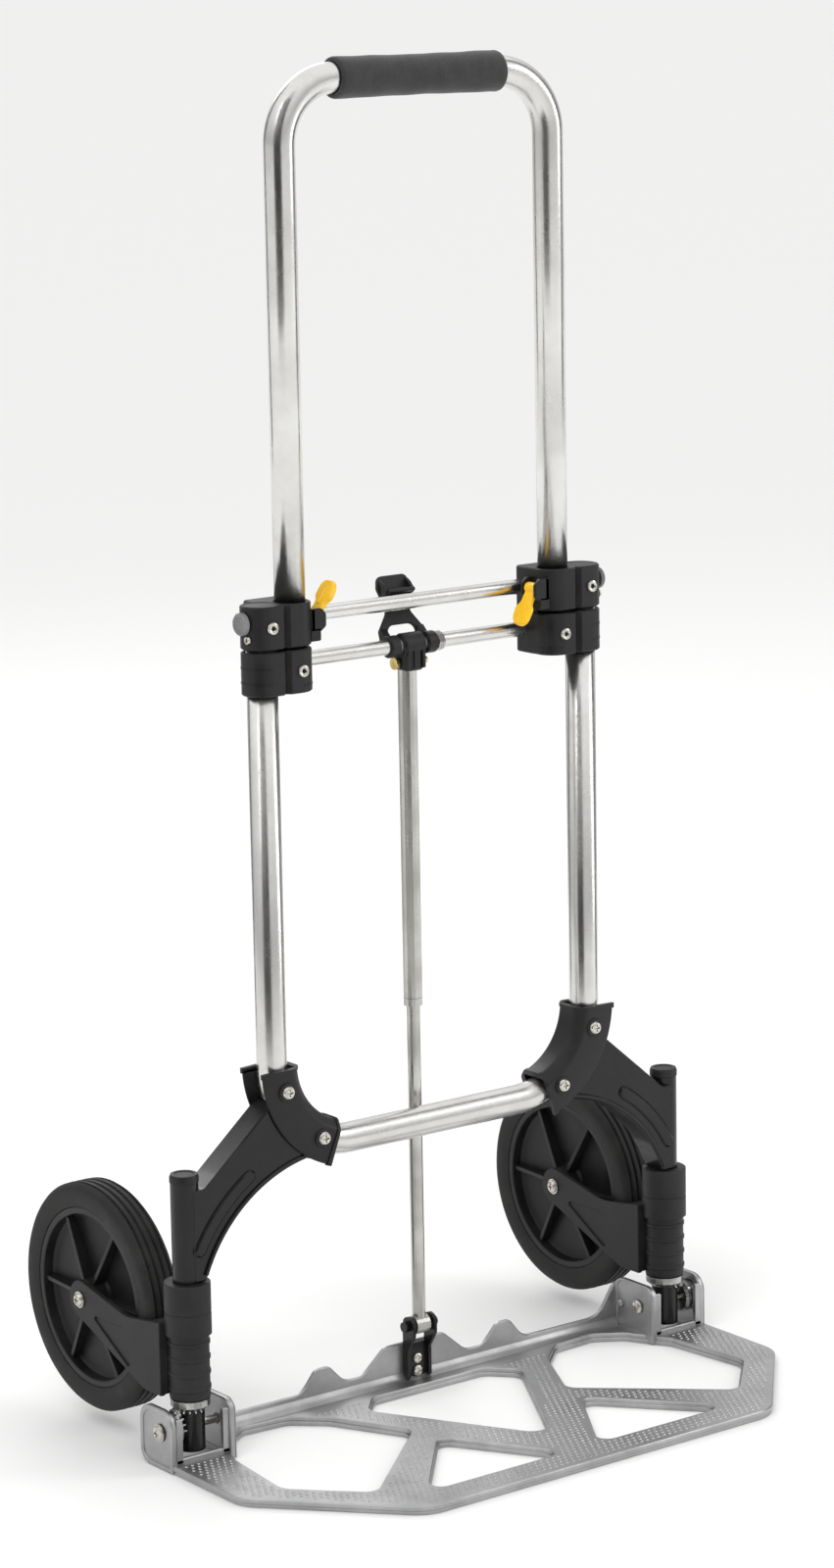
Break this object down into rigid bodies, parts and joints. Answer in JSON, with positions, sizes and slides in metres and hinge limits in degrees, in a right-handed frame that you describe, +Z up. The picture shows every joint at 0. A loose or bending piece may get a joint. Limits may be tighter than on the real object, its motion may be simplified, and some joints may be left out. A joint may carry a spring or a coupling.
{
  "type": "folding hand truck",
  "caption": "Folding two-wheeled hand truck with a telescoping U-shaped handle, wheels that swing in and a toe plate that folds up.",
  "frame": {"origin": "centre of the footprint, on the floor under the toe plate", "axes": "+Z up along the handle, -Y the way the toe plate points, +Y towards the wheels and the user, +X to the right seen from the toe plate's side"},
  "size_m": [0.4972, 0.388, 0.9755],
  "materials": {
    "chrome_tube": "polished, fine draw marks",
    "steel_bar": "bright drawn steel",
    "zinc_fastener": "zinc plated",
    "gear_steel": "sintered steel",
    "black_paint": "satin powder coat",
    "black_plastic": "fine moulded texture",
    "foam": "closed-cell foam sleeve",
    "tyre_rubber": "dusty rubber",
    "cast_plate": "cast, raised dot tread",
    "yellow_plastic": "moulded",
    "grey_plastic": "moulded"
  },
  "bodies": {
    "root": {"lower_frame": "chrome_tube", "upper_crossbar": "steel_bar", "left_upper_block": "black_plastic", "right_upper_block": "black_plastic", "left_upper_rivet": "zinc_fastener", "right_upper_rivet": "zinc_fastener", "left_lock_cap": "grey_plastic", "right_lock_cap": "grey_plastic", "left_post": "black_paint", "right_post": "black_paint", "left_post_cap": "black_plastic", "right_post_cap": "black_plastic", "left_gusset": "black_paint", "right_gusset": "black_paint", "left_elbow": "black_plastic", "right_elbow": "black_plastic", "left_elbow_screw_1": "zinc_fastener", "right_elbow_screw_1": "zinc_fastener", "left_elbow_screw_2": "zinc_fastener", "right_elbow_screw_2": "zinc_fastener", "left_lever_pin": "steel_bar", "right_lever_pin": "steel_bar"},
    "toe_plate": {"toe_plate": "cast_plate", "clevis": "steel_bar", "clevis_screw_1": "zinc_fastener", "clevis_screw_2": "zinc_fastener", "left_plate_gear": "gear_steel", "right_plate_gear": "gear_steel", "left_hinge_bolt": "zinc_fastener", "right_hinge_bolt": "zinc_fastener"},
    "strut_rod": {"strut_rod": "steel_bar"},
    "handle": {"handle_tube": "chrome_tube", "foam_grip": "foam", "lower_crossbar": "steel_bar", "strut_head": "black_plastic", "strut_bolt": "zinc_fastener", "strut_tube": "steel_bar", "strut_bush": "black_plastic", "latch_spring": "steel_bar", "left_lower_block": "black_plastic", "right_lower_block": "black_plastic", "left_lower_rivet": "zinc_fastener", "right_lower_rivet": "zinc_fastener"},
    "latch": {"latch": "black_plastic"},
    "left_fork": {"left_fork": "black_plastic", "left_fork_gear": "gear_steel", "left_axle_bolt": "zinc_fastener"},
    "left_wheel": {"left_hub": "black_plastic", "left_tyre": "tyre_rubber", "left_bearing": "gear_steel"},
    "left_lever": {"left_lever": "yellow_plastic"},
    "left_lock_pin": {"left_lock_pin": "steel_bar"},
    "right_fork": {"right_fork": "black_plastic", "right_fork_gear": "gear_steel", "right_axle_bolt": "zinc_fastener"},
    "right_wheel": {"right_hub": "black_plastic", "right_tyre": "tyre_rubber", "right_bearing": "gear_steel"},
    "right_lever": {"right_lever": "yellow_plastic"},
    "right_lock_pin": {"right_lock_pin": "steel_bar"}
  },
  "joints": [
    {"name": "toe_plate_fold", "type": "hinge", "parent": "root", "child": "toe_plate", "pos_m": [0, 0, 0.027], "axis": [-1, 0, 0], "range_deg": [0, 90]},
    {"name": "strut_rod_draw", "type": "slide", "parent": "root", "child": "strut_rod", "axis": [0, 0, -1], "range_m": [0, 0.0445]},
    {"name": "handle_slide", "type": "slide", "parent": "strut_rod", "child": "handle", "axis": [0, 0, 1], "range_m": [-0.218, 0]},
    {"name": "latch_tilt", "type": "hinge", "parent": "handle", "child": "latch", "pos_m": [0, 0.018, 0.5582], "axis": [-1, 0, 0], "range_deg": [-16, 20]},
    {"name": "left_fork_swing", "type": "hinge", "parent": "root", "child": "left_fork", "pos_m": [-0.219, 0, 0.027], "axis": [0, 0, -1], "range_deg": [0, 90]},
    {"name": "left_wheel_spin", "type": "hinge", "parent": "left_fork", "child": "left_wheel", "pos_m": [-0.219, 0.11, 0.096], "axis": [1, 0, 0], "continuous": true},
    {"name": "left_lever_turn", "type": "hinge", "parent": "root", "child": "left_lever", "pos_m": [-0.098, -0.001, 0.5905], "axis": [0, 1, 0], "range_deg": [0, 115]},
    {"name": "left_lock_pin_slide", "type": "slide", "parent": "root", "child": "left_lock_pin", "axis": [-1, 0, 0], "range_m": [0, 0.003]},
    {"name": "right_fork_swing", "type": "hinge", "parent": "root", "child": "right_fork", "pos_m": [0.219, 0, 0.027], "axis": [0, 0, 1], "range_deg": [0, 90]},
    {"name": "right_wheel_spin", "type": "hinge", "parent": "right_fork", "child": "right_wheel", "pos_m": [0.219, 0.11, 0.096], "axis": [1, 0, 0], "continuous": true},
    {"name": "right_lever_turn", "type": "hinge", "parent": "root", "child": "right_lever", "pos_m": [0.098, -0.001, 0.5905], "axis": [0, 1, 0], "range_deg": [0, 115]},
    {"name": "right_lock_pin_slide", "type": "slide", "parent": "root", "child": "right_lock_pin", "axis": [1, 0, 0], "range_m": [0, 0.003]}
  ],
  "couplings": [
    {"joint": "strut_rod_draw", "follows": "toe_plate_fold", "m_per_rad": 0.028011},
    {"joint": "left_fork_swing", "follows": "toe_plate_fold", "ratio": 1},
    {"joint": "left_lever_turn", "follows": "left_lock_pin_slide", "rad_per_m": 669},
    {"joint": "right_fork_swing", "follows": "toe_plate_fold", "ratio": 1},
    {"joint": "right_lever_turn", "follows": "right_lock_pin_slide", "rad_per_m": 669}
  ]
}
